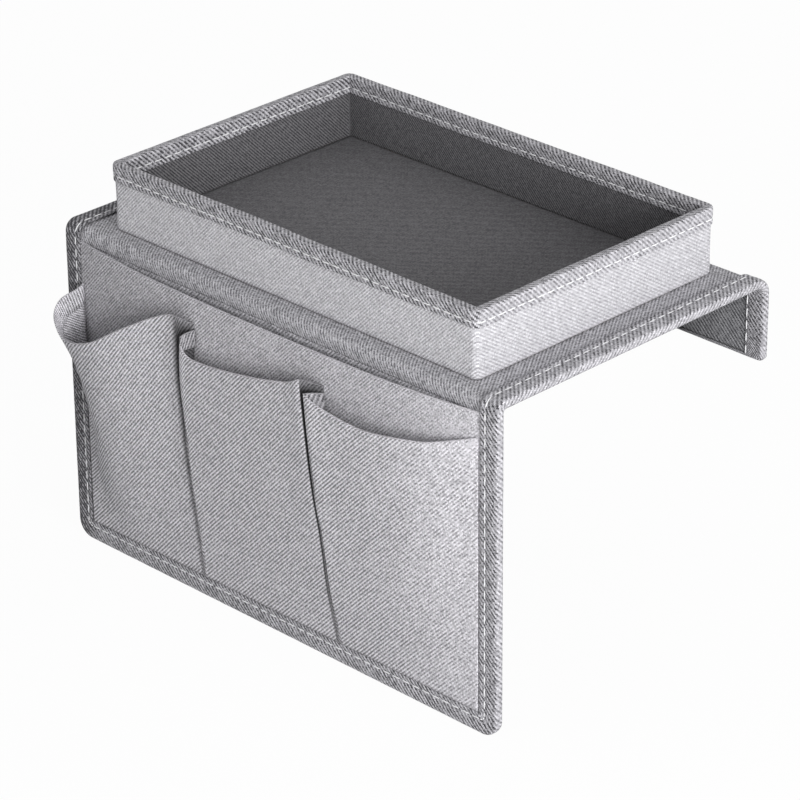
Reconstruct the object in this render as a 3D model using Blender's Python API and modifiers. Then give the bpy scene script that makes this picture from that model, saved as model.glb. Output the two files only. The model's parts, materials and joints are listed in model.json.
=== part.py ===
# Armrest organizer: three stiffened fabric panels that hang over a sofa arm, with a tray on top
# and four pockets in front. Metres, +Z up, the front faces -Y.
# Z = 0 is the underside of the top panel, and the origin is the middle of that face.
import math

import bmesh
import bpy
from mathutils import Vector

# Layers
cloth = 0.0005
board = 0.0012
gap = 0.0003
cut_overrun = 0.004
weld_distance = 0.00003

# Saddle
saddle_width = 0.320
top_length = 0.190
front_drop = 0.1844
flap_drop = 0.0383
front_fold_radius = 0.005
back_fold_radius = 0.008
front_corner_radius = 0.010
flap_corner_radius = 0.003
board_inset = 0.002
binding_width = 0.012

# Tray, with bare cloth between its walls and the top panel's bindings and folds
tray_side_margin = 0.014
tray_end_margin = 0.00625
tray_height = 0.0386
tray_board = 0.002
tray_corner_radius = 0.004
hem_depth = 0.010

# Magazine pocket, as wide as the front panel
magazine_mouth_drop = 0.0028
magazine_sag = 0.0021
magazine_stand = 0.0055
magazine_flatness = 4
magazine_fall = 2
pocket_tuck = 0.003

# Three small pockets on the magazine pocket, from left to right
first_seam = 0.103
second_seam = 0.199
pocket_seam_inset = 0.001
small_mouth_drop = 0.030
remote_stand = 0.020
middle_stand = 0.0085
right_stand = 0.0085
remote_flare_share = 0.38
phone_flare_share = 0.12
flare_power = 5
wedge_power = 1.5

# Along each mouth: the place across the pocket, how far it stands off and how low it hangs
remote_across_shares = (0.0, 0.0, -0.07, -0.05, 0.07, 0.30, 0.58, 0.86, 0.985, 1.0)
remote_stand_shares = (0.0, 0.20, 0.60, 0.90, 1.0, 0.92, 0.68, 0.42, 0.36, 0.0)
remote_mouth_shares = (0.89, 0.96, 1.18, 1.46, 1.72, 1.56, 1.04, 0.56, 0.46, 0.62)
middle_across_shares = (0.0, 0.0, 0.06, 0.35, 0.67, 0.93, 1.0)
middle_stand_shares = (0.0, 0.70, 0.76, 0.80, 0.88, 1.0, 0.0)
middle_mouth_shares = (0.79, 0.85, 1.12, 1.08, 0.86, 0.74, 0.74)
right_across_shares = (0.0, 0.0, 0.11, 0.33, 0.56, 0.79, 0.86, 1.0)
right_stand_shares = (0.0, 0.78, 0.88, 0.94, 1.0, 0.94, 0.35, 0.0)
right_mouth_shares = (0.88, 0.91, 0.99, 1.06, 0.95, 0.76, 0.71, 0.55)

# Facets
fold_steps = 6
corner_steps = 5
pocket_columns = 26
pocket_rows = 11
magazine_columns = 24
magazine_rows = 12

# Colours of the finishes
outer_grey = (0.40, 0.40, 0.42, 1.0)
binding_grey = (0.30, 0.30, 0.32, 1.0)
lining_grey = (0.13, 0.13, 0.14, 1.0)
board_brown = (0.45, 0.33, 0.20, 1.0)
cloth_roughness = 0.9
board_roughness = 0.8

# Levels and faces that the layers give
panel = 2 * cloth + 2 * gap + board
binding_seat = gap + cloth + gap
outer_leg = binding_seat + cloth
inner_leg = gap + cloth
half_width = saddle_width / 2
half_top = top_length / 2
binding_inner = half_width - binding_width
cloth_edge = half_width - cloth - gap
front_axis = Vector((0, -half_top, panel - front_fold_radius))
back_axis = Vector((0, half_top, panel - back_fold_radius))
front_face = -half_top - front_fold_radius
back_face = half_top + back_fold_radius
front_bottom = front_axis.z - front_drop
flap_bottom = back_axis.z - flap_drop
tray_width = 2 * (binding_inner - tray_side_margin)
tray_depth = 2 * (half_top - tray_end_margin)
tray_bottom = panel + gap
tray_rim = panel + tray_height


def clear_scene():
    for item in list(bpy.data.objects):
        bpy.data.objects.remove(item)


def new_collection(name):
    group = bpy.data.collections.new(name)
    bpy.context.scene.collection.children.link(group)
    return group


def finish(name, colour, roughness):
    made = bpy.data.materials.new(name)
    made.use_nodes = True
    shader = made.node_tree.nodes["Principled BSDF"]
    shader.inputs["Base Color"].default_value = colour
    shader.inputs["Roughness"].default_value = roughness
    shader.inputs["Metallic"].default_value = 0
    return made


def placed(name, data, material, group):
    item = bpy.data.objects.new(name, data)
    item.data.materials.append(material)
    group.objects.link(item)
    return item


def mesh_object(name, bm, material, group):
    bmesh.ops.recalc_face_normals(bm, faces=bm.faces)
    mesh = bpy.data.meshes.new(name)
    bm.to_mesh(mesh)
    bm.free()
    return placed(name, mesh, material, group)


def solidify(item, thickness):
    modifier = item.modifiers.new("wall", "SOLIDIFY")
    modifier.thickness = thickness
    modifier.offset = 0
    modifier.use_even_offset = True


def smooth(item):
    item.data.shade_smooth()


# Boxes, flat outlines and rounded rings
def slab(name, low, high, material, group):
    bm = bmesh.new()
    bmesh.ops.create_cube(bm, size=1)
    middle = (Vector(low) + Vector(high)) / 2
    size = Vector(high) - Vector(low)
    for corner in bm.verts:
        corner.co = middle + corner.co * size
    return mesh_object(name, bm, material, group)


def plate(name, outline, y_low, y_high, material, group):
    # A flat outline in X and Z, as deep as from y_low to y_high
    curve = bpy.data.curves.new(name, "CURVE")
    curve.dimensions = "2D"
    curve.fill_mode = "BOTH"
    curve.extrude = (y_high - y_low) / 2
    spline = curve.splines.new("POLY")
    spline.points.add(len(outline) - 1)
    for point, (x, z) in zip(spline.points, outline):
        point.co = (x, z, 0, 1)
    spline.use_cyclic_u = True
    item = placed(name, curve, material, group)
    item.location.y = (y_low + y_high) / 2
    item.rotation_euler.x = math.radians(90)
    return item


def as_mesh(item):
    # The same shape as one welded mesh, which a Boolean can cut
    bpy.context.view_layer.update()
    evaluated = item.evaluated_get(bpy.context.evaluated_depsgraph_get())
    mesh = bpy.data.meshes.new_from_object(evaluated)
    bm = bmesh.new()
    bm.from_mesh(mesh)
    bmesh.ops.remove_doubles(bm, verts=bm.verts, dist=weld_distance)
    bm.to_mesh(mesh)
    bm.free()
    name = item.name
    group = item.users_collection[0]
    matrix = item.matrix_world.copy()
    bpy.data.objects.remove(item)
    solid = bpy.data.objects.new(name, mesh)
    solid.matrix_world = matrix
    group.objects.link(solid)
    return solid


def cut(item, cutter):
    modifier = item.modifiers.new(cutter.name, "BOOLEAN")
    modifier.operation = "DIFFERENCE"
    modifier.object = cutter
    cutter.hide_render = True
    cutter.display_type = "WIRE"


def arc(centre, radius, start, end):
    points = []
    for step in range(corner_steps + 1):
        angle = math.radians(start + (end - start) * step / corner_steps)
        points.append((centre[0] + radius * math.cos(angle), centre[1] + radius * math.sin(angle)))
    return points


def hanging_outline(half, top, bottom, radius):
    # A panel seen from the front: square at its top, rounded at both bottom corners
    points = [(half, top)]
    if radius > 0:
        points += arc((half - radius, bottom + radius), radius, 0, -90)
        points += arc((-half + radius, bottom + radius), radius, -90, -180)
    else:
        points += [(half, bottom), (-half, bottom)]
    points.append((-half, top))
    return points


def tray_ring(inset):
    # The tray seen from above, with rounded corners, inset from its outer cloth
    radius = max(tray_corner_radius - inset, cloth)
    x = tray_width / 2 - inset - radius
    y = tray_depth / 2 - inset - radius
    ring = []
    for corner, start in (((x, y), 0), ((-x, y), 90), ((-x, -y), 180), ((x, -y), 270)):
        ring += arc(corner, radius, start, start + 90)
    return ring


def ring_shell(name, rings, material, group):
    # A thin wall through rings that each lie at one height
    bm = bmesh.new()
    rows = [[bm.verts.new((x, y, z)) for x, y in ring] for ring, z in rings]
    for lower, upper in zip(rows, rows[1:]):
        for index in range(len(lower)):
            after = (index + 1) % len(lower)
            bm.faces.new((lower[index], lower[after], upper[after], upper[index]))
    item = mesh_object(name, bm, material, group)
    solidify(item, cloth)
    return item


# Bindings: a channel of folded tape along an edge
def channel_profile(side, level):
    # Points across the channel, its heights counted from the panel's outer face
    outer = side * half_width
    wall = side * (half_width - cloth)
    inner = side * binding_inner
    top = level + outer_leg
    bottom = level - panel - inner_leg
    return [
        (outer, top), (inner, top), (inner, top - cloth), (wall, top - cloth),
        (wall, bottom + cloth), (inner, bottom + cloth), (inner, bottom), (outer, bottom),
    ]


def hanging_binding(name, face, outward, top, bottom, radius, material, group, cutters):
    # The channel round a hanging panel's sides and bottom, open to the panel
    front = face + outward * outer_leg
    back = face - outward * (panel + inner_leg)
    y_low, y_high = sorted((front, back))
    slot_low = y_low + cloth
    slot_high = y_high - cloth
    above = top + cut_overrun
    body_outline = hanging_outline(half_width, top, bottom, radius)
    body = as_mesh(plate(name, body_outline, y_low, y_high, material, group))
    slot_outline = hanging_outline(half_width - cloth, above, bottom + cloth, radius - cloth)
    slot = as_mesh(plate(name + "_slot", slot_outline, slot_low, slot_high, material, cutters))
    window_outline = hanging_outline(binding_inner, above, bottom + binding_width, 0)
    window = as_mesh(plate(name + "_window", window_outline, y_low - cut_overrun,
                           y_high + cut_overrun, material, cutters))
    cut(body, slot)
    cut(body, window)
    return body


def fold(name, profile, axis, turn, material, group):
    # A profile in X and height above the axis, turned a quarter down round that axis
    bm = bmesh.new()
    face = bm.faces.new([bm.verts.new((x, axis.y, axis.z + height)) for x, height in profile])
    parts = [face] + list(face.edges) + list(face.verts)
    bmesh.ops.spin(bm, geom=parts, cent=axis, axis=(turn, 0, 0), angle=math.radians(90),
                   steps=fold_steps, use_duplicate=False)
    return mesh_object(name, bm, material, group)


def strip_profile(half, low, high):
    return [(-half, low), (half, low), (half, high), (-half, high)]


# Pockets
def between(values, share):
    # A smooth curve through evenly spaced values
    place = share * (len(values) - 1)
    index = min(int(place), len(values) - 2)
    t = place - index
    b, c = values[index], values[index + 1]
    a = values[index - 1] if index > 0 else b
    d = values[index + 2] if index + 2 < len(values) else c
    return b + 0.5 * t * (c - a + t * (2 * a - 5 * b + 4 * c - d + t * (3 * (b - c) + d - a)))


def magazine_mouth(x):
    share = min(abs(x) / binding_inner, 1)
    return front_axis.z - magazine_mouth_drop - magazine_sag * (1 - share ** 2)


def magazine_bulge(x, z):
    # How far the magazine pocket stands off the panel
    share = min(abs(x) / binding_inner, 1)
    top = magazine_mouth(x)
    down = (top - z) / (top - front_bottom - binding_width)
    down = min(max(down, 0), 1)
    return magazine_stand * (1 - share ** magazine_flatness) * (1 - down ** magazine_fall)


def sheet(name, surface, columns, rows, material, group):
    bm = bmesh.new()
    bmesh.ops.create_grid(bm, x_segments=columns, y_segments=rows, size=0.5)
    for corner in bm.verts:
        corner.co = surface(corner.co.x + 0.5, 0.5 - corner.co.y)
    item = mesh_object(name, bm, material, group)
    solidify(item, cloth)
    smooth(item)
    return item


def magazine_surface(across, down):
    # The outermost columns and the last row lie flat under the binding
    column = round(across * magazine_columns)
    row = round(down * magazine_rows)
    inner_column = min(max(column - 1, 0), magazine_columns - 2)
    x = binding_inner * (2 * inner_column / (magazine_columns - 2) - 1)
    top = magazine_mouth(x)
    seam = front_bottom + binding_width
    z = top + (seam - top) * min(row, magazine_rows - 1) / (magazine_rows - 1)
    if column in (0, magazine_columns):
        x += math.copysign(pocket_tuck, x)
    if row == magazine_rows:
        z -= pocket_tuck
    y = front_face - gap - cloth / 2 - magazine_bulge(x, z)
    return Vector((x, y, z))


def small_pocket_surface(left, right, across_shares, stand, stand_shares, mouth_shares, flare_share):
    bottom = front_bottom + binding_width + gap

    def surface(across, down):
        wedge = (1 - flare_share) * (1 - down ** wedge_power) + flare_share * (1 - down) ** flare_power
        place = across + (between(across_shares, across) - across) * wedge
        x = left + (right - left) * place
        top = front_axis.z - small_mouth_drop * between(mouth_shares, across)
        z = top + (bottom - top) * down
        off = magazine_bulge(x, z) + stand * between(stand_shares, across) * wedge
        y = front_face - gap - cloth - gap - cloth / 2 - off
        return Vector((x, y, z))

    return surface


# The assembly
def build_top(group, outer, lining, binding, stiff):
    y = half_top - gap
    x = cloth_edge
    slab("top_outer_cloth", (-x, -y, panel - cloth), (x, y, panel), outer, group)
    low = cloth + gap
    slab("top_board", (board_inset - x, -y, low), (x - board_inset, y, low + board), stiff, group)
    inner = binding_inner - gap
    slab("top_lining", (-inner, -y, 0), (inner, y, cloth), lining, group)
    for side, name in ((-1, "left"), (1, "right")):
        plate(f"top_{name}_binding", channel_profile(side, panel), -y, y, binding, group)


def build_folds(group, outer, lining, binding):
    for place, axis, radius, turn in (
        ("front", front_axis, front_fold_radius, 1),
        ("back", back_axis, back_fold_radius, -1),
    ):
        cloth_profile = strip_profile(cloth_edge, radius - cloth, radius)
        smooth(fold(f"{place}_fold_cloth", cloth_profile, axis, turn, outer, group))
        inner = radius - panel
        lining_profile = strip_profile(binding_inner - gap, inner, inner + cloth)
        smooth(fold(f"{place}_fold_lining", lining_profile, axis, turn, lining, group))
        for side, name in ((-1, "left"), (1, "right")):
            profile = channel_profile(side, radius)
            fold(f"{place}_fold_{name}_binding", profile, axis, turn, binding, group)


def build_hanging_panel(place, face, outward, top, bottom, corner, finishes, group, cutters):
    # The layers of a hanging panel, from its outer face inwards
    outer, lining, binding, stiff = finishes
    radius = corner - cloth - gap
    edge = hanging_outline(cloth_edge, top, bottom + cloth + gap, radius)
    board_edge = hanging_outline(cloth_edge - board_inset, top, bottom + cloth + gap + board_inset,
                                 radius - board_inset)
    pieces = []
    depth = 0
    for layer, outline, thickness, material in (
        ("outer_cloth", edge, cloth, outer),
        ("board", board_edge, board, stiff),
        ("lining", edge, cloth, lining),
    ):
        near = face - outward * depth
        far = near - outward * thickness
        y_low, y_high = sorted((near, far))
        pieces.append(plate(f"{place}_{layer}", outline, y_low, y_high, material, group))
        depth += thickness + gap
    pieces.append(hanging_binding(f"{place}_binding", face, outward, top, bottom, corner, binding,
                                  group, cutters))
    return pieces


def build_pockets(outer, group):
    pieces = [sheet("magazine_pocket", magazine_surface, magazine_columns, magazine_rows, outer, group)]
    left = -binding_inner + pocket_seam_inset
    right = binding_inner - pocket_seam_inset
    first = first_seam - half_width
    second = second_seam - half_width
    for name, low, high, across, stand, stands, mouths, flare in (
        ("remote_pocket", left, first - gap, remote_across_shares, remote_stand,
         remote_stand_shares, remote_mouth_shares, remote_flare_share),
        ("middle_pocket", first + gap, second - gap, middle_across_shares, middle_stand,
         middle_stand_shares, middle_mouth_shares, phone_flare_share),
        ("right_pocket", second + gap, right, right_across_shares, right_stand,
         right_stand_shares, right_mouth_shares, phone_flare_share),
    ):
        surface = small_pocket_surface(low, high, across, stand, stands, mouths, flare)
        pieces.append(sheet(name, surface, pocket_columns, pocket_rows, outer, group))
    return pieces


def build_tray(group, outer, lining, binding, stiff):
    wall_top = tray_rim - cloth - gap
    middle = cloth / 2
    board_out = cloth + gap
    lining_out = board_out + tray_board + gap
    ring_shell("tray_outer_cloth", [(tray_ring(middle), tray_bottom), (tray_ring(middle), wall_top)],
               outer, group)
    ring = tray_ring(lining_out + middle)
    ring_shell("tray_wall_lining", [(ring, tray_bottom), (ring, wall_top)], lining, group)
    outside = tray_ring(-gap - middle)
    inside = tray_ring(lining_out + cloth + gap + middle)
    hem_low = tray_rim - hem_depth
    hem_high = tray_rim - middle
    ring_shell("tray_rim_hem", [(outside, hem_low), (outside, hem_high), (inside, hem_high),
                                (inside, hem_low)], binding, group)
    x = tray_width / 2
    y = tray_depth / 2
    r = tray_corner_radius
    near = board_out
    far = board_out + tray_board
    for name, low, high in (
        ("front", (r - x, near - y), (x - r, far - y)),
        ("back", (r - x, y - far), (x - r, y - near)),
        ("left", (near - x, r - y), (far - x, y - r)),
        ("right", (x - far, r - y), (x - near, y - r)),
    ):
        slab(f"tray_{name}_board", (*low, tray_bottom), (*high, wall_top), stiff, group)
    floor_x = x - lining_out - cloth - gap
    floor_y = y - lining_out - cloth - gap
    floor_top = tray_bottom + board
    slab("tray_floor_board", (-floor_x, -floor_y, tray_bottom), (floor_x, floor_y, floor_top),
         stiff, group)
    floor_x -= cloth + gap
    floor_y -= cloth + gap
    floor_low = floor_top + gap
    slab("tray_floor_lining", (-floor_x, -floor_y, floor_low), (floor_x, floor_y, floor_low + cloth),
         lining, group)


def carry(name, axis, pieces, group):
    # The pieces turn with an empty on their fold's axis
    pivot = bpy.data.objects.new(name, None)
    pivot.location = axis
    group.objects.link(pivot)
    bpy.context.view_layer.update()
    for piece in pieces:
        piece.parent = pivot
        piece.matrix_parent_inverse = pivot.matrix_world.inverted()


def main():
    clear_scene()
    group = new_collection("armrest_organizer")
    cutters = new_collection("cutters")
    outer = finish("outer_fabric", outer_grey, cloth_roughness)
    lining = finish("lining_fabric", lining_grey, cloth_roughness)
    binding = finish("binding_fabric", binding_grey, cloth_roughness)
    stiff = finish("stiffener_board", board_brown, board_roughness)
    finishes = (outer, lining, binding, stiff)
    build_top(group, outer, lining, binding, stiff)
    build_folds(group, outer, lining, binding)
    build_tray(group, outer, lining, binding, stiff)
    front = build_hanging_panel("front", front_face, -1, front_axis.z - gap, front_bottom,
                                front_corner_radius, finishes, group, cutters)
    front += build_pockets(outer, group)
    flap = build_hanging_panel("flap", back_face, 1, back_axis.z - gap, flap_bottom,
                               flap_corner_radius, finishes, group, cutters)
    carry("front_fold_axis", front_axis, front, group)
    carry("back_fold_axis", back_axis, flap, group)


main()
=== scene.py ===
# %% [markdown]
# # A cloth organizer for a sofa arm
# The object is a saddle of stiffened twill that hangs over the arm of a sofa. A shallow tray is
# sewn on its top, and four pockets hang in front. Everything that shows is cloth, so this lesson
# is about three things: laying a flat grid of faces where a sheet of cloth lies, giving it a
# woven finish that follows its threads, and sewing it down with stitches that are real little
# shapes. The stiffener boards inside come from the construction model, and keep their shapes.

# %% Load the construction model
import json
import math

import bpy
from mathutils import Euler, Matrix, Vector, noise


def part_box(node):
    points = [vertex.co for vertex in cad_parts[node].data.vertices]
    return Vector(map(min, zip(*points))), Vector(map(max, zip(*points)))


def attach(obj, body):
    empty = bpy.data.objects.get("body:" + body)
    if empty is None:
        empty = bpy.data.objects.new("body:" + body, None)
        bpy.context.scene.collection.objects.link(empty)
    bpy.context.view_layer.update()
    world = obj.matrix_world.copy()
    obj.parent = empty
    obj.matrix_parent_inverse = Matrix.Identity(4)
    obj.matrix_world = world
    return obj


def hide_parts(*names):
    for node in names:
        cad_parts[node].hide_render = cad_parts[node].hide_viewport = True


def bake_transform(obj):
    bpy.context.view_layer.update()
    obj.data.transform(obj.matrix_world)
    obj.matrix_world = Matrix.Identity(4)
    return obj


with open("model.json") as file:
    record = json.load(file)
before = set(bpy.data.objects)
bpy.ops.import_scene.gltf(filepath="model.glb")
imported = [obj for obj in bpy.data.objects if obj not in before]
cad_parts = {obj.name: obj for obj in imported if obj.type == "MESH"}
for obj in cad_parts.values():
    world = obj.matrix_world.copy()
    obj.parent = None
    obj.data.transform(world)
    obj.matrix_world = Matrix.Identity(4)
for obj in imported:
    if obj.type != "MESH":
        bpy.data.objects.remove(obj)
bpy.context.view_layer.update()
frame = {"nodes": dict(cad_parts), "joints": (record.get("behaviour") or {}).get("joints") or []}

mm = 0.001
scene = bpy.context.scene
bpy.ops.object.select_all(action="DESELECT")
print("nodes in the frame:", len(frame["nodes"]))

# %% [markdown]
# ## The camera
# The picture was taken with a long lens from the front right, looking down. A long lens keeps
# upright edges almost parallel, which is how such goods are shown. The camera is placed first,
# because every later choice is judged through it. It is turned by an azimuth, an elevation and a
# small roll.

# %% Place the camera
camera_azimuth = math.radians(44.89)
camera_elevation = math.radians(26.57)
camera_roll = math.radians(-0.49)
camera_place = Vector((1.30811, -1.32099, 0.84459))
camera_lens = 174.01
camera_sensor = 36

bpy.ops.object.camera_add(location=camera_place)
camera = bpy.context.object
camera.name = "camera"
camera.data.lens = camera_lens
camera.data.sensor_width = camera_sensor
camera.rotation_euler = Euler((math.pi / 2 - camera_elevation, 0, camera_azimuth))
camera.rotation_euler.rotate_axis("Z", camera_roll)
scene.camera = camera
print("camera stands at", tuple(round(c, 3) for c in camera_place))

# %% [markdown]
# ## Helpers for nodes
# Every finish here is procedural: a network of nodes works out the colour and the relief of each
# spot. It could be clicked together in the shader editor. As code it stays readable, because each
# short function adds one node, feeds its sockets and gives back its output.

# %% Write the node helpers
def feed(tree, socket, value):
    """Links a socket to another node's output, or sets it to a number or a colour."""
    if isinstance(value, bpy.types.NodeSocket):
        tree.links.new(value, socket)
    else:
        socket.default_value = value


def math_node(tree, operation, *values):
    node = tree.nodes.new("ShaderNodeMath")
    node.operation = operation
    for socket, value in zip(node.inputs, values):
        feed(tree, socket, value)
    return node.outputs[0]


def clamp_node(tree, value):
    node = tree.nodes.new("ShaderNodeClamp")
    feed(tree, node.inputs[0], value)
    return node.outputs[0]


def split_node(tree, vector):
    node = tree.nodes.new("ShaderNodeSeparateXYZ")
    feed(tree, node.inputs[0], vector)
    return node.outputs


def mix_shaders(tree, share, first, second):
    node = tree.nodes.new("ShaderNodeMixShader")
    for socket, value in zip(node.inputs, (share, first, second)):
        feed(tree, socket, value)
    return node.outputs[0]


def mix_colour(tree, share, first, second):
    node = tree.nodes.new("ShaderNodeMix")
    node.data_type = "RGBA"
    for name, value in (("Factor_Float", share), ("A_Color", first), ("B_Color", second)):
        feed(tree, next(s for s in node.inputs if s.identifier == name), value)
    return next(s for s in node.outputs if s.identifier == "Result_Color")


def noise_node(tree, vector, scale, detail):
    node = tree.nodes.new("ShaderNodeTexNoise")
    node.inputs["Scale"].default_value = scale
    node.inputs["Detail"].default_value = detail
    feed(tree, node.inputs["Vector"], vector)
    return node.outputs["Fac"]


def new_finish(name):
    """A new material with its own node tree, and the shader that Blender puts there."""
    finish = bpy.data.materials.new(name)
    finish.use_nodes = True
    return finish, finish.node_tree, finish.node_tree.nodes["Principled BSDF"]


print("node helpers are ready")

# %% [markdown]
# ## Floor and world
# A plain pale floor under the front panel catches the shadow, and throws some light back up. To
# the camera the floor and the world are nearly white, through Light Path, so that the background
# needs no extra light on the cloth.

# %% Lay the floor and set the world
floor_size = 12
floor_grey = (0.86, 0.86, 0.86, 1)
floor_white_share = 0.96
white = (1, 1, 1, 1)
world_strength = 0.56
scene.view_settings.view_transform = "Standard"

front_tape_low, front_tape_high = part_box("front_binding")
bpy.ops.mesh.primitive_plane_add(size=floor_size, location=(0, 0, front_tape_low.z))
floor = bpy.context.object
floor.name = "floor"


def seen_rays(tree):
    """1 for a ray from the camera, a mirror or through glass, and 0 where it carries light."""
    path = tree.nodes.new("ShaderNodeLightPath").outputs
    seen = math_node(tree, "MAXIMUM", path["Is Camera Ray"], path["Is Glossy Ray"])
    return math_node(tree, "MAXIMUM", seen, path["Is Transmission Ray"])


def make_floor_finish():
    finish = bpy.data.materials.new("pale_floor")
    finish.use_nodes = True
    tree = finish.node_tree
    tree.nodes.clear()
    matt = tree.nodes.new("ShaderNodeBsdfDiffuse")
    matt.inputs["Color"].default_value = floor_grey
    glow = tree.nodes.new("ShaderNodeEmission")
    share = math_node(tree, "MULTIPLY", seen_rays(tree), floor_white_share)
    out = tree.nodes.new("ShaderNodeOutputMaterial")
    feed(tree, out.inputs["Surface"], mix_shaders(tree, share, matt.outputs[0], glow.outputs[0]))
    return finish


def make_world():
    world = bpy.data.worlds.new("pale_world")
    scene.world = world
    world.use_nodes = True
    tree = world.node_tree
    tree.nodes.clear()
    around = tree.nodes.new("ShaderNodeBackground")
    around.inputs["Color"].default_value = white
    around.inputs["Strength"].default_value = world_strength
    seen = tree.nodes.new("ShaderNodeBackground")
    seen.inputs["Color"].default_value = white
    seen.inputs["Strength"].default_value = 1
    out = tree.nodes.new("ShaderNodeOutputWorld")
    mixed = mix_shaders(tree, seen_rays(tree), around.outputs[0], seen.outputs[0])
    feed(tree, out.inputs["Surface"], mixed)


floor.data.materials.append(make_floor_finish())
make_world()
print("floor at z", round(front_tape_low.z, 4))

# %% [markdown]
# ## Lamp and cards
# One large soft lamp stands low on the right. It lights the side of the tray most and rakes
# across the front, where it draws out the folds of the pockets. The pale world and floor fill the
# rest. Two small black cards that the camera doesn't see hold light back, as in any photo studio:
# one to the left of the front panel, and one under the top, before the back flap.

# %% Hang the cards and the lamp
card_black = (0.01, 0.01, 0.01, 1)


def add_card(name, middle, turn, size):
    """A black card that holds light back and isn't seen itself."""
    bpy.ops.mesh.primitive_plane_add(size=1, location=middle, rotation=turn)
    card = bpy.context.object
    card.name = name
    card.scale = (*size, 1)
    bpy.ops.object.transform_apply(location=False, rotation=False, scale=True)
    black, _, shader = new_finish(f"{name}_black")
    shader.inputs["Base Color"].default_value = card_black
    shader.inputs["Roughness"].default_value = 1
    card.data.materials.append(black)
    card.visible_camera = False


def add_lamp(name, place, target, size, power):
    bpy.ops.object.light_add(type="AREA", location=place)
    lamp = bpy.context.object
    lamp.name = name
    lamp.data.shape = "DISK"
    lamp.data.size = size
    lamp.data.energy = power
    direction = Vector(target) - Vector(place)
    lamp.rotation_euler = direction.to_track_quat("-Z", "Y").to_euler()


add_card("left_card", middle=(-0.27, -0.22, -0.08), turn=(0, math.pi / 2, 0), size=(0.30, 0.22))
add_card("inner_card", middle=(-0.008, 0.088, -0.026), turn=(math.pi / 2, 0, 0), size=(0.28, 0.040))
bpy.ops.object.select_all(action="DESELECT")
add_lamp("key_right", place=(1.6, -0.55, 0.35), target=(0, 0, -0.05), size=0.9, power=25)
print("one lamp and two cards hung")

# %% [markdown]
# ## Sizes that the frame gives
# Nothing is measured twice. The places of the panels, of the folds and of the tray are read from
# the construction model's own boxes and joints.

# %% Read the sizes
half_width = front_tape_high.x
front_bottom = front_tape_low.z
front_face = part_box("front_outer_cloth")[0].y
flap_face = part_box("flap_outer_cloth")[1].y
flap_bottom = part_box("flap_binding")[0].z
top_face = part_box("top_outer_cloth")[1].z
panel = top_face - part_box("top_lining")[0].z
tape_width = half_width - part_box("top_right_binding")[0].x
tape_inner = half_width - tape_width
fold_axes = {joint["name"]: Vector(joint["pos_m"]) for joint in frame["joints"]}
front_axis = fold_axes["front_fold"]
back_axis = fold_axes["back_fold"]
front_radius = top_face - front_axis.z
back_radius = top_face - back_axis.z
print("a panel is", round(panel / mm, 2), "mm thick, its tape", round(tape_width / mm), "mm wide")

# %% [markdown]
# ## The saddle, unrolled
# The saddle is one long strip that runs up the front, over the front fold, across the top, over
# the back fold and down the flap. So a place on it is said with three numbers: x across it, a
# length along it from the front's bottom edge, and how far it lies off the outer face. Every
# piece of cloth, tape and thread on the saddle is laid through this one function.

# %% Unroll the saddle
front_length = front_axis.z - front_bottom
front_bend = math.pi / 2 * front_radius
top_length = back_axis.y - front_axis.y
back_bend = math.pi / 2 * back_radius
flap_length = back_axis.z - flap_bottom
top_start = front_length + front_bend
top_end = top_start + top_length
saddle_length = top_end + back_bend + flap_length


def saddle_point(x, along, off):
    """A point across the saddle, along it from the front's bottom edge, and off its outer face."""
    if along < front_length:
        return Vector((x, front_face - off, front_bottom + along))
    if along < top_start:
        turn = (along - front_length) / front_radius
        reach = front_radius + off
        y = front_axis.y - reach * math.cos(turn)
        return Vector((x, y, front_axis.z + reach * math.sin(turn)))
    if along < top_end:
        return Vector((x, front_axis.y + along - top_start, top_face + off))
    turn = (along - top_end) / back_radius
    if turn < math.pi / 2:
        reach = back_radius + off
        y = back_axis.y + reach * math.sin(turn)
        return Vector((x, y, back_axis.z + reach * math.cos(turn)))
    return Vector((x, flap_face + off, flap_bottom + saddle_length - along))


print("saddle is", round(saddle_length / mm, 1), "mm long when laid flat")

# %% [markdown]
# ## The threads of the twill
# Twill is woven so that each thread passes over two and under two, one step further on each row,
# which draws slanting ribs. A picture of cloth would blur up close and repeat, so the pattern is
# worked out by the material itself, thread by thread, from the piece's UV map. The map is in
# metres along the cloth, so the ribs keep their real width and follow every bend. A float is a
# stretch of thread that shows between two crossings. Each is high in its middle and has a tone of
# its own.

# %% Work out the threads
threads_in_repeat = 4
wander_threads = 9
wander_share = 0.8
level_height = 0.45
level_number_offset = 0.37
float_seed_step = 37.7


def float_profile(tree, place):
    """1 in the middle of a thread and 0 at its edges, for a place from 0 to 1 across it."""
    side = math_node(tree, "SUBTRACT", place, 0.5)
    square = math_node(tree, "MULTIPLY", side, side)
    return math_node(tree, "SUBTRACT", 1, math_node(tree, "MULTIPLY", square, 4))


def float_tone(tree, thread_number, float_number):
    """A tone of its own for each float, from 0 to 1."""
    seed = math_node(tree, "MULTIPLY", thread_number, float_seed_step)
    node = tree.nodes.new("ShaderNodeTexWhiteNoise")
    node.noise_dimensions = "1D"
    feed(tree, node.inputs["W"], math_node(tree, "ADD", seed, float_number))
    return node.outputs["Value"]


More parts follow.
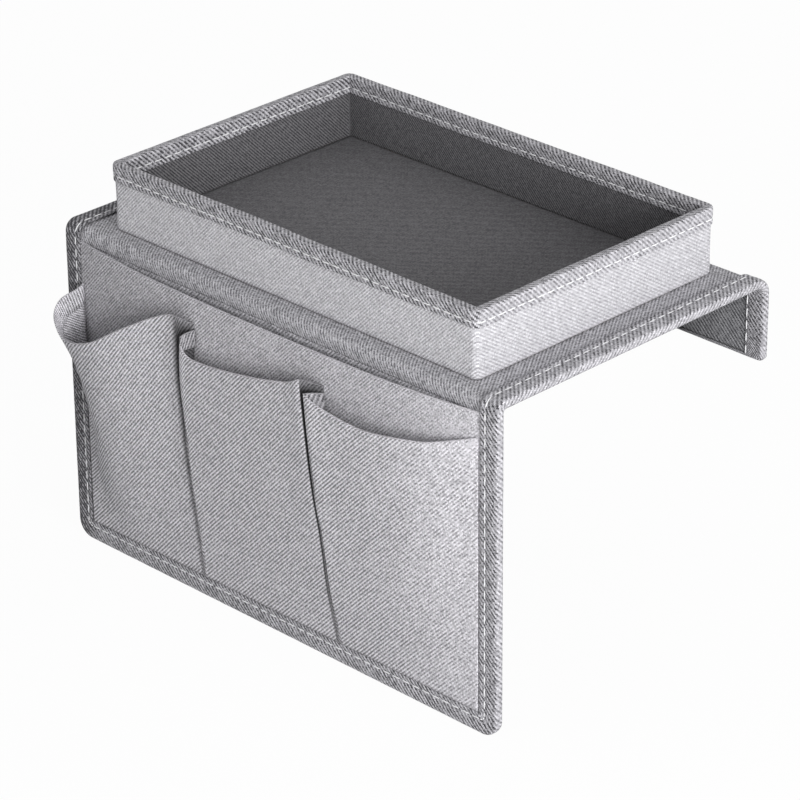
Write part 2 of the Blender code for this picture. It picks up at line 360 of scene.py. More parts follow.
def twill_threads(tree, vector, thread):
    """Whether an upright thread is on top, how high the cloth stands, and the float's own tone."""
    wander = noise_node(tree, vector, 1 / (wander_threads * thread), 2)
    split = split_node(tree, vector)
    across = math_node(tree, "DIVIDE", split[0], thread)
    across = math_node(tree, "ADD", across, math_node(tree, "MULTIPLY", wander, wander_share))
    up = math_node(tree, "DIVIDE", split[1], thread)
    column = math_node(tree, "FLOOR", across)
    row = math_node(tree, "FLOOR", up)
    upright_phase = math_node(tree, "SUBTRACT", up, column)
    upright_phase = math_node(tree, "DIVIDE", upright_phase, threads_in_repeat)
    level_phase = math_node(tree, "SUBTRACT", row, across)
    level_phase = math_node(tree, "DIVIDE", level_phase, threads_in_repeat)
    over = math_node(tree, "LESS_THAN", math_node(tree, "FRACT", upright_phase), 0.5)

    def float_height(sideways, phase):
        endways = math_node(tree, "MULTIPLY", math_node(tree, "FRACT", phase), 2)
        round_across = float_profile(tree, math_node(tree, "FRACT", sideways))
        both = math_node(tree, "MULTIPLY", round_across, float_profile(tree, endways))
        return math_node(tree, "MAXIMUM", both, 0)

    upright = math_node(tree, "MULTIPLY", float_height(across, upright_phase), over)
    level = math_node(tree, "MULTIPLY", float_height(up, level_phase), level_height)
    height = math_node(tree, "MAXIMUM", upright, level)
    level_number = math_node(tree, "ADD", row, level_number_offset)
    upright_tone = float_tone(tree, column, math_node(tree, "FLOOR", upright_phase))
    level_tone = float_tone(tree, level_number, math_node(tree, "FLOOR", level_phase))
    own_tone = mix_colour(tree, over, level_tone, upright_tone)
    return over, height, math_node(tree, "SUBTRACT", own_tone, 0.5)


print("a repeat of the twill is", threads_in_repeat, "threads wide")

# %% [markdown]
# ## The tone of the twill
# Upright threads are pale and level ones dark, and a float is paler in its high middle. How far the
# two are apart says how clear the ribs are. Over that lie the floats' own tones, and thick and thin
# stretches of yarn, which a noise draws when it is squeezed along the threads.

# %% Work out the tone
colour_contrast = 0.55
height_contrast = 0.45
middle_tone = 0.30
yarn_threads = 1.3
yarn_squeeze = 0.12


def stretch(tree, vector, x, y):
    node = tree.nodes.new("ShaderNodeMapping")
    node.inputs["Scale"].default_value = (x, y, 1)
    feed(tree, node.inputs["Vector"], vector)
    return node.outputs[0]


def twill_tone(tree, vector, thread, threads, ribs, grain):
    """0 for the dark colour of a twill and 1 for the pale one, before light and use change it."""
    over, height, spread = threads
    tone = math_node(tree, "SUBTRACT", over, 0.5)
    tone = math_node(tree, "MULTIPLY", tone, colour_contrast * ribs)
    tone = math_node(tree, "ADD", tone, math_node(tree, "MULTIPLY", height, height_contrast))
    tone = math_node(tree, "ADD", tone, math_node(tree, "MULTIPLY", spread, grain))
    tone = math_node(tree, "ADD", tone, middle_tone)
    yarn_scale = 1 / (yarn_threads * thread)
    yarn_up = noise_node(tree, stretch(tree, vector, 1, yarn_squeeze), yarn_scale, 3)
    yarn_level = noise_node(tree, stretch(tree, vector, yarn_squeeze, 1), yarn_scale, 3)
    yarn = math_node(tree, "SUBTRACT", math_node(tree, "ADD", yarn_up, yarn_level), 1)
    return math_node(tree, "ADD", tone, math_node(tree, "MULTIPLY", yarn, grain))


print("a stretch of yarn runs over about", round(yarn_threads / yarn_squeeze), "threads")

# %% [markdown]
# ## Painted light and shade, and rubbing
# The cloth isn't the same all over. Painted light and shade draw the tone of faces that look to
# the right, and on the tape of those on top, towards a flat level. Painted shade darkens the tape
# along the left edge. The pockets are rubbed in soft random patches, and painted light makes them
# paler and plainer towards the right, where the ribs give way to a fine speckle. How much each of
# these changes the tone depends on the place on the piece, or on where its surface faces, so it
# stays on the cloth when a panel folds.

# %% Paint light and shade on the cloth, and rub the pockets
worn_patch = 45 * mm
# Painted light: where the pockets start turning paler towards the right, and over what reach.
right_light_from = 75 * mm
right_light_reach = 75 * mm
patch_level = 0.35
patch_share = 0.5
worn_and_lit_grain = 0.7
painted_dark_from = tape_inner - 4 * mm
painted_dark_reach = 10 * mm


def draw_towards(tree, tone, goal, share):
    gap = math_node(tree, "SUBTRACT", goal, tone)
    return math_node(tree, "ADD", tone, math_node(tree, "MULTIPLY", gap, share))


def facing_share(tree, side, top):
    """How much painted light a face gets: most where it looks out to the right, and some on top."""
    place = tree.nodes.new("ShaderNodeTexCoord")
    normal = split_node(tree, place.outputs["Normal"])
    spot = split_node(tree, place.outputs["Object"])
    outer = math_node(tree, "GREATER_THAN", spot[0], 0)
    right = math_node(tree, "POWER", math_node(tree, "MAXIMUM", normal[0], 0), 2)
    right = math_node(tree, "MULTIPLY", math_node(tree, "MULTIPLY", right, outer), side)
    up = math_node(tree, "MULTIPLY", math_node(tree, "MAXIMUM", normal[2], 0), top)
    return math_node(tree, "MAXIMUM", right, up)


def share_past(tree, side, start, reach):
    """Rises from 0 to 1 towards one side, over a reach that starts away from the middle."""
    place = tree.nodes.new("ShaderNodeTexCoord")
    spot = split_node(tree, place.outputs["Object"])
    past = math_node(tree, "SUBTRACT", math_node(tree, "MULTIPLY", spot[0], side), start)
    return clamp_node(tree, math_node(tree, "DIVIDE", past, reach))


# Painted light and shade: the tone of faces that look right, and up on the tape, is drawn to a flat
# level.
def paint_facing_light(tree, tone, side, top, facing_tone):
    return draw_towards(tree, tone, facing_tone, facing_share(tree, side, top))


# Random rubbed patches, plus painted light that makes the pockets paler and plainer towards the
# right.
def wear_and_right_light(tree, tone, vector, spread, most, worn_and_lit_tone):
    patches = noise_node(tree, vector, 1 / worn_patch, 2)
    patches = math_node(tree, "SUBTRACT", patches, patch_level)
    right = math_node(tree, "MULTIPLY", share_past(tree, 1, right_light_from, right_light_reach), most)
    share = math_node(tree, "ADD", right, math_node(tree, "MULTIPLY", patches, patch_share))
    speckle = math_node(tree, "MULTIPLY", spread, worn_and_lit_grain)
    plain = math_node(tree, "ADD", worn_and_lit_tone, speckle)
    return draw_towards(tree, tone, plain, math_node(tree, "MAXIMUM", share, 0))


# Painted shade: the tone is drawn darker towards the saddle's left edge.
def paint_left_shade(tree, tone, amount):
    left = share_past(tree, -1, painted_dark_from, painted_dark_reach)
    return math_node(tree, "SUBTRACT", tone, math_node(tree, "MULTIPLY", left, amount))


print("tape is unfaded past x", -round(painted_dark_from / mm), "mm")

# %% [markdown]
# ## The woven finishes
# One recipe makes all the cloths. They differ in their two colours, in the width of their
# threads, in how clear the ribs are, and in the rubbing and the painted light and shade that they
# carry. Painted shade also draws the cloth nearly to black deep in a pleat, along a turned edge and
# up in the back fold, where hardly any light gets in, and a piece says where with an attribute
# named crease. A bump makes every float stand up, and a finer noise adds fuzz.

# %% Make the finishes
cloth_roughness = 0.92
cloth_sheen = 0.1
cloth_sheen_roughness = 0.6
cloth_specular = 0.2
relief_strength = 0.7
relief_depth = 0.15 * mm
fuzz_threads = 0.4
fuzz_share = 0.25
painted_shade_grey = (0.007, 0.007, 0.008, 1)


def finish_surface(tree, shader, vector, thread, height):
    shader.inputs["Roughness"].default_value = cloth_roughness
    shader.inputs["Sheen Weight"].default_value = cloth_sheen
    shader.inputs["Sheen Roughness"].default_value = cloth_sheen_roughness
    shader.inputs["Specular IOR Level"].default_value = cloth_specular
    bump = tree.nodes.new("ShaderNodeBump")
    bump.inputs["Strength"].default_value = relief_strength
    bump.inputs["Distance"].default_value = relief_depth
    fuzz = noise_node(tree, vector, 1 / (fuzz_threads * thread), 2)
    fuzz = math_node(tree, "MULTIPLY", fuzz, fuzz_share)
    feed(tree, bump.inputs["Height"], math_node(tree, "ADD", height, fuzz))
    feed(tree, shader.inputs["Normal"], bump.outputs[0])


def woven(name, pale, dark, thread, ribs=1.0, grain=0.5, facing_light=None, worn_and_lit=None, painted_dark=0,
          with_painted_shade=False):
    """Twill of pale upright and dark level threads. The UV map holds metres."""
    finish, tree, shader = new_finish(name)
    place = tree.nodes.new("ShaderNodeUVMap")
    place.uv_map = "cloth"
    vector = place.outputs[0]
    threads = twill_threads(tree, vector, thread)
    height, spread = threads[1:]
    tone = twill_tone(tree, vector, thread, threads, ribs, grain)
    if facing_light:
        tone = paint_facing_light(tree, tone, *facing_light)
    if worn_and_lit:
        tone = wear_and_right_light(tree, tone, vector, spread, *worn_and_lit)
    if painted_dark:
        tone = paint_left_shade(tree, tone, painted_dark)
    colour = mix_colour(tree, clamp_node(tree, tone), (*dark, 1), (*pale, 1))
    # Painted shade: the crease attribute draws the colour towards near black.
    if with_painted_shade:
        depth = tree.nodes.new("ShaderNodeAttribute")
        depth.attribute_name = "crease"
        colour = mix_colour(tree, depth.outputs["Fac"], colour, painted_shade_grey)
    feed(tree, shader.inputs["Base Color"], colour)
    finish_surface(tree, shader, vector, thread, height)
    return finish


cloth_thread = 0.59 * mm
tape_thread = 0.725 * mm
underside_thread = 0.71 * mm
# Pocket cloth: how strong the painted light towards the right is, and the pale tone it draws to.
pocket_wear_and_light = (0.5, 0.66)
pocket_twill = woven("pocket_twill", (0.90, 0.88, 0.93), (0.150, 0.147, 0.160), cloth_thread,
                     worn_and_lit=pocket_wear_and_light, with_painted_shade=True)
magazine_twill = woven("magazine_twill", (0.88, 0.86, 0.91), (0.165, 0.162, 0.175), cloth_thread,
                       ribs=0.5, worn_and_lit=pocket_wear_and_light)
panel_twill = woven("panel_twill", (0.74, 0.73, 0.77), (0.140, 0.137, 0.150), cloth_thread,
                    ribs=0.5, grain=0.65)
# Painted light and shade: on the walls, faces that look right are drawn to a flatter, darker tone.
wall_twill = woven("wall_twill", (0.95, 0.94, 0.98), (0.285, 0.280, 0.300), cloth_thread,
                   ribs=0.38, facing_light=(0.38, 0, 0.14))
# Painted light on faces that look right or up; painted shade along the left edge and in the turned
# edges.
tape_twill = woven("tape_twill", (0.70, 0.69, 0.73), (0.055, 0.053, 0.060), tape_thread,
                   ribs=0.85, grain=0.7, facing_light=(0.46, 0.25, 0.62), painted_dark=0.37, with_painted_shade=True)
lining_twill = woven("lining_twill", (0.245, 0.240, 0.252), (0.040, 0.039, 0.044), cloth_thread,
                     ribs=0.95)
underside_twill = woven("underside_twill", (0.42, 0.42, 0.44), (0.07, 0.07, 0.078),
                        underside_thread, ribs=0.8, with_painted_shade=True)
print("woven finishes made: 7")

# %% [markdown]
# ## Laying cloth
# A sheet of cloth starts as a flat grid of faces, as Blender's Add Grid gives it. Each of its
# points is then moved to where that point of the cloth lies, by a small function for each piece.
# The UV map is filled with lengths along the cloth at the same time. Solidify gives the cloth its
# thickness, on the inner side, so that the face that shows stays where it was laid. A simulation
# could drape such sheets too, but here they are stiffened and sewn down, and they have to meet at
# their seams. The flat size of each is measured along its middle row and middle column, for the
# list of cuts.

# %% Write the cloth helper
cloth_thickness = 0.45 * mm
weld = 0.001 * mm
flat_sizes = {}


def run_of(points):
    return sum((after - before).length for before, after in zip(points, points[1:]))


def lay_cloth(name, columns, rows, place, lengths, finish, closed=False, crease=None):
    """A grid of faces laid by place(i, j), with lengths(i, j) along the cloth as its UV map."""
    bpy.ops.mesh.primitive_grid_add(x_subdivisions=columns, y_subdivisions=rows, size=1)
    cloth = bpy.context.object
    cloth.name = name
    mesh = cloth.data
    mesh.name = name
    cells = []
    for point in mesh.vertices:
        cells.append((round((point.co.x + 0.5) * columns), round((point.co.y + 0.5) * rows)))
    layer = mesh.uv_layers.active
    layer.name = "cloth"
    for loop in mesh.loops:
        layer.data[loop.index].uv = lengths(*cells[loop.vertex_index])
    for point, cell in zip(mesh.vertices, cells):
        point.co = place(*cell)
    middle_row = [place(i, rows // 2) for i in range(columns + 1)]
    middle_column = [place(columns // 2, j) for j in range(rows + 1)]
    flat_sizes[name] = (run_of(middle_row), run_of(middle_column))
    if crease:
        depth = mesh.attributes.new("crease", "FLOAT", "POINT")
        for index, cell in enumerate(cells):
            depth.data[index].value = crease(*cell)
    if closed:
        bpy.ops.object.mode_set(mode="EDIT")
        bpy.ops.mesh.select_all(action="SELECT")
        bpy.ops.mesh.remove_doubles(threshold=weld)
        bpy.ops.object.mode_set(mode="OBJECT")
    mesh.shade_smooth()
    wall = cloth.modifiers.new("thickness", "SOLIDIFY")
    wall.thickness = cloth_thickness
    wall.offset = -1
    bpy.ops.object.modifier_apply(modifier=wall.name)
    mesh.materials.append(finish)
    cloth.select_set(False)
    return cloth


print("cloth is", cloth_thickness / mm, "mm thick")

# %% [markdown]
# ## Waves and drawn curves
# Cloth is never quite flat. A smooth noise, the same on each run, gives it broad waves with finer
# ones on them. Drawn shapes, such as the mouth of a pocket, are short lists of values, and a
# smooth curve joins them.

# %% Write the shape helpers
fine_share = 0.35


def soft_waves(point, size, height):
    return height * noise.noise(point / size)


def broad_and_fine_waves(point, broad, fine, height):
    return soft_waves(point, broad, height) + soft_waves(point, fine, height * fine_share)


def ease(share):
    """0 up to a share of 0, 1 from a share of 1, and a smooth step between."""
    share = min(max(share, 0), 1)
    return share * share * (3 - 2 * share)


def smooth_through(values, share):
    """A smooth curve through evenly spaced values."""
    place = min(max(share, 0), 1) * (len(values) - 1)
    index = min(int(place), len(values) - 2)
    t = place - index
    b, c = values[index], values[index + 1]
    a = values[index - 1] if index > 0 else b
    d = values[index + 2] if index + 2 < len(values) else c
    return b + 0.5 * t * (c - a + t * (2 * a - 5 * b + 4 * c - d + t * (3 * (b - c) + d - a)))


print("halfway through 0, 1, 0 the curve is at", smooth_through((0, 1, 0), 0.5))

# %% [markdown]
# ## The panels' cloth
# On the real thing one strip of cloth runs over the whole saddle. Here it is cut in five: the
# front, the front fold, the top, the back fold and the flap. Each flat piece rides on its own
# panel, and each fold piece stays where it is laid over its bend. The cuts lie a few millimetres
# past each bend, on flat cloth, where they don't show. The ribs on the top lean the other way, so
# its UV map runs backwards across. Painted shade makes the linings darker up in the back fold.

# %% Lay the outer cloth and the linings
fold_margin = 4 * mm
under_tape = 5 * mm
flap_under_tape = 1.6 * mm
cloth_edge = half_width - under_tape
cuts = {
    "front": (under_tape, front_length - fold_margin),
    "front_fold": (front_length - fold_margin, top_start + fold_margin),
    "top": (top_start + fold_margin, top_end - fold_margin),
    "back_fold": (top_end - fold_margin, top_end + back_bend + fold_margin),
    "flap": (top_end + back_bend + fold_margin, saddle_length - flap_under_tape),
}
panel_columns = 160
panel_wave = 28 * mm
panel_fine_wave = 11 * mm
fold_shade = 0.55
fold_shade_reach = 30 * mm
ribs_right = (1, 1)
ribs_left = (-1.17, 0.80)


def lay_on_saddle(name, stretch_of, rows, off, finish, weave, waves, inner=False):
    start, end = cuts[stretch_of]

    def spot(i, j):
        share = 1 - j / rows if inner else j / rows
        return cloth_edge * (2 * i / panel_columns - 1), start + (end - start) * share

    def place(i, j):
        x, along = spot(i, j)
        flat = saddle_point(x, along, 0)
        lift = broad_and_fine_waves(flat, panel_wave, panel_fine_wave, waves)
        return saddle_point(x, along, off + lift)

    def lengths(i, j):
        x, along = spot(i, j)
        return weave[0] * x, weave[1] * along

    # Painted shade: the linings turn darker near the middle of the back fold.
    def crease(i, j):
        past = abs(spot(i, j)[1] - top_end - back_bend / 2) / fold_shade_reach
        return fold_shade * (1 - ease(past))

    shade = crease if inner else None
    return lay_cloth(name, panel_columns, rows, place, lengths, finish, crease=shade)


outer_cloths = {
    "front": ("front_cloth", 60, ribs_right, 0.1 * mm),
    "front_fold": ("front_fold_cover", 18, ribs_left, 0.15 * mm),
    "top": ("top_cloth", 90, ribs_left, 0.15 * mm),
    "back_fold": ("back_fold_cover", 22, ribs_left, 0.15 * mm),
    "flap": ("flap_cloth", 20, ribs_right, 0.1 * mm),
}
lining_rows = {"front": 60, "front_fold": 18, "top": 60, "back_fold": 22, "flap": 20}
lining_wave = 0.05 * mm
panel_cloths = {}
for stretch_of, (name, rows, weave, waves) in outer_cloths.items():
    panel_cloths[stretch_of] = lay_on_saddle(name, stretch_of, rows, 0, panel_twill, weave, waves)
linings = {}
for stretch_of, rows in lining_rows.items():
    linings[stretch_of] = lay_on_saddle(f"{stretch_of}_lining_cloth", stretch_of, rows, -panel,
                                        underside_twill, ribs_right, lining_wave, inner=True)
print("panel cloth laid:", len(panel_cloths) + len(linings), "pieces")

# %% [markdown]
# ## The edge tape
# A folded tape of the same twill, darker and with its ribs the other way, binds every raw edge.
# It wraps the edge like a channel. The section is a short list of points: the tape's turned-in
# edge, the dip under the stitches, a little fullness, and the round edge of the panel. It is
# carried round the outline of the unrolled saddle. At the corners the outer edge is round and the
# inner edge is sharp, so each section is stretched between two outlines there.

# %% Define the tape's section and its outline
stitch_inset = 8.5 * mm
inner_stitch_inset = 11 * mm
front_corner = 10 * mm
flap_corner = 1.6 * mm
flap_turned_edge = 1.5 * mm
tape_section_mm = (
    (11.5, -2.90), (11.9, -3.02), (12.0, -3.20), (11.7, -3.36), (11.0, -3.40), (10.0, -3.56),
    (7.6, -3.68), (4.6, -3.70), (2.0, -3.64), (0.6, -3.36), (0.08, -2.60), (0.0, -1.00),
    (0.08, 0.55), (0.6, 1.32), (2.0, 1.66), (4.6, 1.78), (7.2, 1.70), (8.5, 1.42), (10.0, 1.68),
    (11.6, 1.60), (12.0, 1.35), (11.9, 1.08), (11.4, 0.92),
)
straight_bottom = half_width - front_corner
front_turn = math.pi / 2 * front_corner
straight_side = saddle_length - front_corner - flap_corner
flap_turn = math.pi / 2 * flap_corner
straight_flap = half_width - flap_corner
half_outline = straight_bottom + front_turn + straight_side + flap_turn + straight_flap


def outline_point(distance):
    """A place on the saddle's edge, counted from the middle of the front's bottom edge."""
    side = 1
    if distance > half_outline:
        distance -= 2 * half_outline
    if distance < 0:
        side = -1
        distance = -distance
    if distance < straight_bottom:
        return side * distance, 0.0
    distance -= straight_bottom
    if distance < front_turn:
        turn = distance / front_corner
        along = front_corner * (1 - math.cos(turn))
        return side * (straight_bottom + front_corner * math.sin(turn)), along
    distance -= front_turn
    if distance < straight_side:
        return side * half_width, front_corner + distance
    distance -= straight_side
    if distance < flap_turn:
        turn = distance / flap_corner
        along = saddle_length - flap_corner + flap_corner * math.sin(turn)
        return side * (half_width - flap_corner * (1 - math.cos(turn))), along
    distance -= flap_turn
    return side * (straight_flap - distance), saddle_length


def inward(distance, margin):
    """The step from the saddle's edge to the tape's inner edge, unrolled."""
    x, along = outline_point(distance)
    inner_x = min(max(x, -tape_inner), tape_inner)
    inner_along = min(max(along, tape_width), saddle_length - margin)
    return inner_x - x, inner_along - along


def tape_point(distance, inset, off):
    """A point of the tape: along the edge, in from it, and off the panel's outer face."""
    x, along = outline_point(distance)
    inner_side = off < -panel / 2
    step_x, step_along = inward(distance, flap_turned_edge if inner_side else tape_width)
    share = inset / tape_width
    return saddle_point(x + step_x * share, along + step_along * share, off)


print("outline is", round(2 * half_outline / mm), "mm round")

# %% [markdown]
# ## How a folded strip is sewn
# A tape is laid section by section along its edge. It is drawn in a little at each stitch, so the
# section dips there and rises between. The same helpers serve the tray's hem later on.

# %% Write the helpers for a sewn strip
section_steps = 44
stitch_pitch = 7.1 * mm
seam_reach = 1.6 * mm
seam_pull = 0.16 * mm
fullness_size = 9 * mm
fullness_height = 0.12 * mm
stitch_count = round(2 * half_outline / stitch_pitch)
tape_pitch = 2 * half_outline / stitch_count


def section_spots(section_mm):
    """How far in from the edge, and how far off the face, each step of a section lies."""
    insets, offs = zip(*section_mm)
    shares = [step / section_steps for step in range(section_steps + 1)]
    return [(smooth_through(insets, s) * mm, smooth_through(offs, s) * mm) for s in shares]


def section_lengths(spots):
    """How far each step of a section lies along it, counted from its middle."""
    run = [0.0]
    for before, after in zip(spots, spots[1:]):
        run.append(run[-1] + (Vector(after) - Vector(before)).length)
    return [length - run[section_steps // 2] for length in run]


def stitch_pull(distance, pitch):
    """1 at the middle of each stitch, and 0 between two."""
    return 0.5 - 0.5 * math.cos(2 * math.pi * distance / pitch)


def sewn_relief(spot, from_seam, pull):
    """A little fullness, drawn in along the seam by its stitches."""
    near_seam = math.exp(-(from_seam / seam_reach) ** 2)
    return soft_waves(spot, fullness_size, fullness_height) - seam_pull * near_seam * pull


print("the tapes take", stitch_count, "stitches on each side")

# %% [markdown]
# ## The tapes
# The front and the flap each get one tape round three sides. The straight tapes of the top and the
# short ones over the folds are pieces of their own, because they lie on other panels. Painted shade
# darkens the tape where its turned edges go down to the cloth, and a little all over inside.

# %% Lay the tapes
station = 1.5 * mm
# Painted shade along the tape's turned edges and on its inner side.
inner_edge_shade = 0.8
inner_edge_steps = 7
outer_edge_steps = 7
inside_from = -2 * mm
inside_tape_shade = 0.15


def lay_tape(name, start, end):
    columns = max(round((end - start) / station), 4)
    spots = section_spots(tape_section_mm)
    run = section_lengths(spots)

    def distance_at(i):
        return start + (end - start) * i / columns

    def place(i, j):
        distance = distance_at(i)
        inset, off = spots[j]
        outward = 1 if off > -panel / 2 else -1
        from_seam = inset - (stitch_inset if outward > 0 else inner_stitch_inset)
        flat = Vector((distance, inset, outward))
        relief = sewn_relief(flat, from_seam, stitch_pull(distance, tape_pitch))
        return tape_point(distance, inset, off + outward * relief)

    def lengths(i, j):
        x, along = outline_point(distance_at(i))
        step_x, step_along = inward(distance_at(i), tape_width)
        return -(x + step_x * run[j] / tape_width), along + step_along * run[j] / tape_width

    # Painted shade: dark at both turned edges, and a little on the inner side.
    def crease(i, j):
        inner_edge = inner_edge_shade * (1 - min(j / inner_edge_steps, 1))
        outer_edge = 1 - min((section_steps - j) / outer_edge_steps, 1)
        return inner_edge + outer_edge + inside_tape_shade * (spots[j][1] < inside_from)

    return lay_cloth(name, columns, section_steps, place, lengths, tape_twill, crease=crease)


def edge_distance(along):
    """How far round the outline a place on the saddle's side lies."""
    return straight_bottom + front_turn + along - front_corner


front_cut = edge_distance(cuts["front"][1])
top_cut = edge_distance(cuts["top"][0])
back_cut = edge_distance(cuts["top"][1])
flap_cut = edge_distance(cuts["flap"][0])
whole_outline = 2 * half_outline
tapes = {
    "front_tape": (-front_cut, front_cut),
    "front_fold_right_tape": (front_cut, top_cut),
    "top_right_tape": (top_cut, back_cut),
    "back_fold_right_tape": (back_cut, flap_cut),
    "flap_tape": (flap_cut, whole_outline - flap_cut),
    "back_fold_left_tape": (whole_outline - flap_cut, whole_outline - back_cut),
    "top_left_tape": (whole_outline - back_cut, whole_outline - top_cut),
    "front_fold_left_tape": (whole_outline - top_cut, whole_outline - front_cut),
}
tape_pieces = {name: lay_tape(name, *ends) for name, ends in tapes.items()}
print("tapes laid:", len(tape_pieces))

# %% [markdown]
# ## One stitch
# Topstitching in thick white thread shows on every tape. A bump would lie flat seen from the
# side, so each stitch is a real shape. One is modelled from a small sphere, drawn out along the
# thread, with its ends dipped where they go down into the cloth.

# %% Model one stitch
stitch_length = 6.0 * mm
thread_width = 0.8 * mm
thread_height = 0.55 * mm
stitch_dip = 0.45 * mm
bluntness = 0.75
dip_power = 5
strand_scale = 900
thread_grey = (0.72, 0.72, 0.74, 1)
thread_white = (0.95, 0.95, 0.96, 1)
thread_roughness = 0.6
thread_sheen = 0.2
strand_strength = 0.5
strand_depth = 0.1 * mm


def thread_finish():
    finish, tree, shader = new_finish("white_thread")
    place = tree.nodes.new("ShaderNodeTexCoord")
    strand = noise_node(tree, place.outputs["Object"], strand_scale, 2)
    feed(tree, shader.inputs["Base Color"], mix_colour(tree, strand, thread_grey, thread_white))
    shader.inputs["Roughness"].default_value = thread_roughness
    shader.inputs["Sheen Weight"].default_value = thread_sheen
    bump = tree.nodes.new("ShaderNodeBump")
    bump.inputs["Distance"].default_value = strand_depth
    bump.inputs["Strength"].default_value = strand_strength
    feed(tree, bump.inputs["Height"], strand)
    feed(tree, shader.inputs["Normal"], bump.outputs[0])
    return finish


def model_stitch():
    """One stitch: x along the thread, y across it, z off the cloth."""
    bpy.ops.mesh.primitive_uv_sphere_add(segments=8, ring_count=7, radius=1,
                                         rotation=(0, math.pi / 2, 0))
    bpy.ops.object.transform_apply(location=False, rotation=True, scale=False)
    stitch = bpy.context.object
    for point in stitch.data.vertices:
        x, y, z = point.co
        drawn = math.copysign(abs(x) ** bluntness, x)
        sink = stitch_dip * abs(drawn) ** dip_power
        height = z * thread_height / 2 - sink
        point.co = (drawn * stitch_length / 2, y * thread_width / 2, height)
    return stitch


white_thread = thread_finish()
one_stitch = model_stitch()
stitch_points = [tuple(point.co) for point in one_stitch.data.vertices]
stitch_faces = [tuple(face.vertices) for face in one_stitch.data.polygons]
bpy.data.objects.remove(one_stitch)
print("one stitch has", len(stitch_faces), "faces")

# %% [markdown]
# ## Seams
# The stitch is copied along each seam through the same functions as the cloth, so each copy bends
# with the fold under it. Every tape gets a row outside and a row inside. Only along the flap's
# bottom edge is there no row inside, because so little of the tape is turned in there.

# %% Sew the tapes
outer_seam_height = 1.48 * mm
inner_seam_height = 3.48 * mm
flap_edge_reach = straight_flap + flap_turn


def sew(name, middles, surface):
    """Copies the stitch to each middle, through surface(distance, across, off)."""
    points = []
    faces = []
    for middle in middles:
        first = len(points)
        points += [surface(middle + x, y, z) for x, y, z in stitch_points]
        faces += [[first + corner for corner in face] for face in stitch_faces]
    mesh = bpy.data.meshes.new(name)
    mesh.from_pydata(points, [], faces)
    mesh.shade_smooth()
    mesh.materials.append(white_thread)
    seam = bpy.data.objects.new(name, mesh)
    scene.collection.objects.link(seam)
    bpy.ops.object.select_all(action="DESELECT")
    seam.select_set(True)
    bpy.context.view_layer.objects.active = seam
    bpy.ops.object.mode_set(mode="EDIT")
    bpy.ops.mesh.select_all(action="SELECT")
    bpy.ops.mesh.normals_make_consistent(inside=False)
    bpy.ops.object.mode_set(mode="OBJECT")
    seam.select_set(False)
    return seam


def outside_seam(distance, across, off):
    return tape_point(distance, stitch_inset + across, outer_seam_height + off)


def inside_seam(distance, across, off):
    return tape_point(distance, inner_stitch_inset + across, -inner_seam_height - off)


def stitch_row_name(tape_name, face):
    return tape_name.replace("tape", f"{face}_stitches")


seams = {}
for tape_name, (start, end) in tapes.items():
    middles = [(number + 0.5) * tape_pitch for number in range(-stitch_count, 2 * stitch_count)]
    middles = [middle for middle in middles if start <= middle < end]
    inside = [middle for middle in middles if abs(middle - half_outline) > flap_edge_reach]
    for face, surface, row in (("outer", outside_seam, middles), ("inner", inside_seam, inside)):
        seam_name = stitch_row_name(tape_name, face)
        seams[seam_name] = sew(seam_name, row, surface)
print("stitch rows:", len(seams), "at a pitch of", round(tape_pitch / mm, 2), "mm")

# %% [markdown]
# ## The tray
# The tray is a box without a lid, of board between two cloths, and its rim is bound with a deep
# hem. Seen from above its outline is a rectangle with small round corners, and the inside corners
# are sharp. So one function gives every point of it: a length round the outline, a drop below the
# rim, and how far the point lies off the outer face.

# %% Define the tray's outline
wall_low, wall_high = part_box("tray_outer_cloth")
tray_half_x = wall_high.x
tray_half_y = wall_high.y
tray_foot = wall_low.z
tray_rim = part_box("tray_rim_hem")[1].z
tray_floor_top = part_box("tray_floor_lining")[1].z
tray_corner = 4 * mm
tray_wall = 3.6 * mm
straight_x = 2 * (tray_half_x - tray_corner)
straight_y = 2 * (tray_half_y - tray_corner)
corner_turn = math.pi / 2 * tray_corner
tray_round = 2 * (straight_x + straight_y) + 4 * corner_turn
tray_sides = (
    (straight_x, (-1, -1), (1, 0), (0, -1)),
    (straight_y, (1, -1), (0, 1), (1, 0)),
    (straight_x, (1, 1), (-1, 0), (0, 1)),
    (straight_y, (-1, 1), (0, -1), (-1, 0)),
)


def tray_plan(distance, off):
    """A point round the tray seen from above, from the front's left end, off its outer face."""
    distance %= tray_round
    limit_x = max(tray_half_x + off, 0)
    limit_y = max(tray_half_y + off, 0)
    radius = max(tray_corner + off, 0)
    for length, corner, way, out in tray_sides:
        start_x = corner[0] * (tray_half_x - tray_corner)
        start_y = corner[1] * (tray_half_y - tray_corner)
        if distance < length:
            x = start_x + way[0] * distance + out[0] * (tray_corner + off)
            y = start_y + way[1] * distance + out[1] * (tray_corner + off)
            break
        distance -= length
        if distance < corner_turn:
            turn = distance / tray_corner
            end_x = start_x + way[0] * length
            end_y = start_y + way[1] * length
            x = end_x + radius * (out[0] * math.cos(turn) + way[0] * math.sin(turn))
            y = end_y + radius * (out[1] * math.cos(turn) + way[1] * math.sin(turn))
            break
        distance -= corner_turn
    return min(max(x, -limit_x), limit_x), min(max(y, -limit_y), limit_y)


def tray_point(distance, drop, off):
    x, y = tray_plan(distance, off)
    return Vector((x, y, tray_rim - drop))


print("tray is", round(tray_round / mm), "mm round")

# %% [markdown]
# ## The tray's walls
# Each face of the walls is one sheet that goes all the way round and is sewn to itself. It starts
# under the hem and ends on the top panel outside, or on the tray's floor inside. The boards keep
# it nearly flat, so it only bows a little between them, and outside it turns in at its foot. On
# the right side the cloth's ribs lean the other way, so the UV map runs backwards there.

